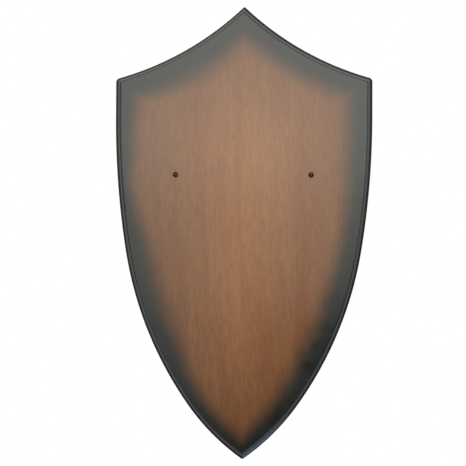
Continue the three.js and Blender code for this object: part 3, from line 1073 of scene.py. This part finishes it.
def strap_line(pivot, low):
    """The strap's middle line as (y, z): up the seated leaf, round the eye and down the outer leaf."""
    radius = pivot.y - low.y - SHEET / 2
    outer_leaf = low.y + 1.5 * SHEET
    bend = Vector((outer_leaf + LEAF_BEND, 0))
    bend.y = pivot.z - math.sqrt((radius + LEAF_BEND) ** 2 - (bend.x - pivot.y) ** 2)
    leave = math.atan2(bend.y - pivot.z, bend.x - pivot.y)
    turns = [math.pi / 2 * i / TAIL_STEPS for i in range(TAIL_STEPS + 1)]
    tail = [low.z + TAIL_ROUND * (1 - math.cos(turn)) for turn in turns]
    line = [(low.y + SHEET / 2, z) for z in tail]
    for i in range(EYE_STEPS + 1):
        turn = math.pi + (leave - math.pi) * i / EYE_STEPS
        line.append((pivot.y + radius * math.cos(turn), pivot.z + radius * math.sin(turn)))
    for i in range(1, BEND_STEPS + 1):
        turn = math.pi + leave * (1 - i / BEND_STEPS)
        line.append((bend.x + LEAF_BEND * math.cos(turn), bend.y + LEAF_BEND * math.sin(turn)))
    return line + [(outer_leaf, z) for z in tail[::-1]]


def sheet_section():
    """Points round the section of the sheet: (side, offset through the sheet, reach past the flat)."""
    section = []
    for side, face, first in ((1, 1, 0), (-1, 1, 90), (-1, -1, 180), (1, -1, 270)):
        for i in range(4):
            turn = math.radians(first + 30 * i)
            through = face * (SHEET_SHOWN / 2 - SHEET_EDGE_ROUND) + SHEET_EDGE_ROUND * math.sin(turn)
            section.append((side, through, SHEET_EDGE_ROUND * math.cos(turn)))
    return section


def ring_strap(material):
    """Sheet steel folded round the ring, with a rounded tail."""
    pivot = Vector(frame["joints"][0]["pos_m"])
    low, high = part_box("hanger_strap")
    half = (high.x - low.x) / 2
    line = np.array(strap_line(pivot, low))
    tangents = np.gradient(line, axis=0)
    tangents /= np.linalg.norm(tangents, axis=1)[:, None]
    normals = np.stack([-tangents[:, 1], tangents[:, 0]], 1)
    section = sheet_section()
    rings = []
    for (y, z), (ny, nz) in zip(line, normals):
        into_tail = max(0.0, half - (z - low.z))
        width = math.sqrt(max(half**2 - into_tail**2, (TAIL_END_WIDTH / 2) ** 2)) - SHEET_EDGE_ROUND
        rings.append([
            (side * width + past, y + ny * through, z + nz * through) for side, through, past in section
        ])
    made = lofted("ring_strap", rings, material)
    store(made, "arris", ridge(half - np.abs(vertices(made)[:, 0]), 0.35 * MM))
    return place(made, "board", "zinc_plate", "hanger_strap")


RING_BEND = 3 * MM
BUTT_GAP = 0.6 * MM
RING_ARC_STEPS = 72
WIRE_SIDES = 28


def wire_ring(material):
    """The D-shaped ring, its wire ends meeting inside the strap's eye."""
    pivot = Vector(frame["joints"][0]["pos_m"])
    low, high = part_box("hanger_ring")
    wire = (high.y - low.y) / 2
    half = high.x - wire
    bow = low.z + wire + half
    top = Vector((half - RING_BEND, pivot.z - RING_BEND))
    right = [(BUTT_GAP / 2, pivot.z), (half / 3, pivot.z)]
    for i in range(BEND_STEPS + 1):
        turn = math.pi / 2 * (1 - i / BEND_STEPS)
        right.append((top.x + RING_BEND * math.cos(turn), top.y + RING_BEND * math.sin(turn)))
    route = list(right)
    for i in range(RING_ARC_STEPS + 1):
        turn = -math.pi * i / RING_ARC_STEPS
        route.append((half * math.cos(turn), bow + half * math.sin(turn)))
    route += [(-x, z) for x, z in right[::-1]]
    points = [(x, pivot.y, z) for x, z in route]
    edges = [(i, i + 1) for i in range(len(points) - 1)]
    made = made_by(BENT_WIRE, "wire_ring", points, edges, {
        "Wire radius": wire, "Sides": WIRE_SIDES, "Material": material,
    })
    return place(made, "ring", "zinc_plate", "hanger_ring")


# ---- bumpers ----

BUMPER_TAPER = 1 * MM
BUMPER_ROUND = 1 * MM
BUMPER_FOOT = 0.3 * MM
GROOVE = 0.15 * MM
GROOVE_INSET = 1.9 * MM


def moulded_bumper(material):
    """A tapered rubber bumper, its base at the origin and its resting face towards +Y."""
    low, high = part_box("bumper_lower")
    radius = (high.x - low.x) / 2
    height = high.y - low.y
    top = radius - BUMPER_TAPER
    base = radius - BUMPER_FOOT
    ring = top - GROOVE_INSET
    profile = [(0, 0), (base, 0)]
    profile += quarter(base, BUMPER_FOOT, BUMPER_FOOT, BUMPER_FOOT, 4, -80, 0)
    profile += quarter(top - BUMPER_ROUND, height - BUMPER_ROUND, BUMPER_ROUND, BUMPER_ROUND, 8)
    for across, down in ((2, 0), (1, 1), (-1, 1), (-2, 0)):
        profile.append((ring + across * GROOVE, height - down * GROOVE))
    profile.append((0, height))
    made = turned("bumper", profile, material)
    at = vertices(made)
    rim = ridge(np.hypot(at[:, 0], at[:, 2]) - top + 0.3 * BUMPER_ROUND, 0.8 * MM)
    store(made, "arris", rim * (at[:, 1] > height - 1.2 * MM))
    return made


def wall_bumpers(material):
    """The three bumpers, as one piece."""
    nodes = ["bumper_upper_left", "bumper_upper_right", "bumper_lower"]
    places = []
    for node in nodes:
        low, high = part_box(node)
        places.append(((low.x + high.x) / 2, low.y, (low.z + high.z) / 2))
    made = set_out(
        "wall_bumpers", moulded_bumper(material), places, material, first_turn=0.3, turn_step=1.1,
    )
    return place(made, "board", "bumper_rubber", *nodes)


# ---- the piece ----

zinc = zinc_plate()
routed_board(black_lacquer())
wood_face(face_wood())
wood_back(back_wood())
display_screws(dark_bronze())
ring_strap(zinc)
wire_ring(zinc)
strap_screw(zinc)
wall_bumpers(bumper_rubber())


# ---- stage, light and camera ----

FLOOR_Z = cad_box[0].z - 160 * MM
FLOOR_RADIUS = 1.0
FLOOR_SIDES = 96


def pale_floor():
    """A pale round floor whose rim fades into the white surroundings."""
    turns = [2 * math.pi * i / FLOOR_SIDES for i in range(FLOOR_SIDES)]
    points = [(FLOOR_RADIUS * math.cos(turn), FLOOR_RADIUS * math.sin(turn), FLOOR_Z) for turn in turns]
    material = bpy.data.materials.new("pale_floor")
    material.use_nodes = True
    tree = material.node_tree
    tree.nodes.clear()
    vector = add(tree, "ShaderNodeTexCoord").outputs["Object"]
    flat = stretched(tree, vector, (1, 1, 0))
    radius = add(tree, "ShaderNodeVectorMath", {"operation": "LENGTH"}, {0: flat}).outputs["Value"]
    matt = add(tree, "ShaderNodeBsdfDiffuse", {}, {"Color": colour(0.86, 0.86, 0.855)}).outputs[0]
    clear = add(tree, "ShaderNodeBsdfTransparent").outputs[0]
    rim = spread(tree, radius, 0.35 * FLOOR_RADIUS, 0.98 * FLOOR_RADIUS, smooth=True)
    seen = add(tree, "ShaderNodeLightPath").outputs["Is Camera Ray"]
    rim = maths(tree, "MAXIMUM", rim, maths(tree, "SUBTRACT", 1.0, seen))
    mixed = add(tree, "ShaderNodeMixShader", {}, {0: rim, 1: matt, 2: clear}).outputs[0]
    add(tree, "ShaderNodeOutputMaterial", {}, {"Surface": mixed})
    finished("floor", points, [tuple(range(FLOOR_SIDES))], material)


# How bright the room is, from behind the piece at 0 to behind the camera at 1
ROOM = [(0.0, 0.18), (0.5, 0.12), (0.75, 0.75), (0.86, 1.9), (0.94, 2.4), (0.98, 0.1), (1.0, 0.06)]


def white_surroundings():
    """White behind the piece. For light and reflections, a pale room that is dim behind the camera."""
    world = bpy.data.worlds.new("surroundings")
    bpy.context.scene.world = world
    world.use_nodes = True
    tree = world.node_tree
    tree.nodes.clear()
    seen = add(tree, "ShaderNodeLightPath").outputs["Is Camera Ray"]
    direction = add(tree, "ShaderNodeTexCoord").outputs["Generated"]
    x, y, z = separated(tree, direction)
    room = ramp(tree, spread(tree, y, 1.0, -1.0), [(at, colour(tone, tone, tone)) for at, tone in ROOM])
    fall = maths(tree, "ADD", spread(tree, z, -0.6, 0.0, 0.66, 1.0), spread(tree, z, 0.0, 0.7, 0.0, 0.9))
    fall = maths(tree, "MULTIPLY", fall, spread(tree, x, -1.0, 1.0, 1.12, 0.85))
    tone = mix_colour(tree, seen, room, colour(1, 1, 1))
    strength = spread(tree, seen, 0.0, 1.0, fall, 1.0)
    background = add(tree, "ShaderNodeBackground", {}, {"Color": tone, "Strength": strength}).outputs[0]
    add(tree, "ShaderNodeOutputWorld", {}, {"Surface": background})


def soft_box(name, size, place_at, aim, power, tint=(1, 1, 1)):
    """A large area light turned towards a point."""
    light = bpy.data.lights.new(name, "AREA")
    light.shape = "RECTANGLE"
    light.size, light.size_y = size
    light.energy = power
    light.color = tint
    made = bpy.data.objects.new(name, light)
    made.location = place_at
    made.rotation_mode = "QUATERNION"
    made.rotation_quaternion = (Vector(aim) - Vector(place_at)).to_track_quat("-Z", "Y")
    made.visible_camera = False
    bpy.context.scene.collection.objects.link(made)


# The camera stands a little to the right of the plaque and below its middle, and rolls slightly.
CAMERA_AZIMUTH = math.radians(3)
CAMERA_ELEVATION = math.radians(-1)
CAMERA_ROLL = math.radians(0.27)
CAMERA_DISTANCE = 2.6
CAMERA_AIM = Vector((-13.85, -16, -0.9)) * MM
FRAME_WIDTH_AT_AIM = 630 * MM
SENSOR = 36.0


def front_camera():
    """The camera, square on but for its small turns, with a lens that frames the whole piece."""
    data = bpy.data.cameras.new("camera")
    data.sensor_width = SENSOR
    data.lens = SENSOR * CAMERA_DISTANCE / FRAME_WIDTH_AT_AIM
    made = bpy.data.objects.new("camera", data)
    flat = math.cos(CAMERA_ELEVATION)
    back = Vector((
        math.sin(CAMERA_AZIMUTH) * flat, -math.cos(CAMERA_AZIMUTH) * flat, math.sin(CAMERA_ELEVATION),
    ))
    made.rotation_mode = "QUATERNION"
    turn = (-back).to_track_quat("-Z", "Y").to_matrix() @ Matrix.Rotation(CAMERA_ROLL, 3, "Z")
    made.rotation_quaternion = turn.to_quaternion()
    made.location = CAMERA_AIM + back * CAMERA_DISTANCE
    bpy.context.scene.collection.objects.link(made)
    bpy.context.scene.camera = made


# Soft boxes square to the face, all at the same distance: name, (width, height), (x, z), power
FRONT_DISTANCE = 1.2
FRONT_TINT = (1.0, 1.0, 0.92)
FRONT_BOXES = [
    ("key_box", (0.95, 0.55), (0.04, 0.38), 5.35),
    ("middle_box", (0.95, 0.24), (0.06, 0), 1.25),
    ("middle_right", (0.4, 0.2), (0.27, 0.04), 0.5),
    ("low_box", (0.6, 0.24), (-0.32, -0.2), 0.4),
]
BLUE_TINT = (0.42, 0.62, 1.0)

pale_floor()
white_surroundings()
for box_name, box_size, (box_x, box_z), box_power in FRONT_BOXES:
    soft_box(box_name, box_size, (box_x, -FRONT_DISTANCE, box_z), (box_x, 0, box_z), box_power, FRONT_TINT)
soft_box("low_right", (0.7, 0.5), (0.6, -0.25, -1.2), (0.08, 0, -0.3), 4.2, BLUE_TINT)
soft_box("rear_box", (1.6, 1.6), (-0.9, 1.7, 1.3), (0, 0, 0), 30)
front_camera()
bpy.context.scene.view_settings.view_transform = "Standard"
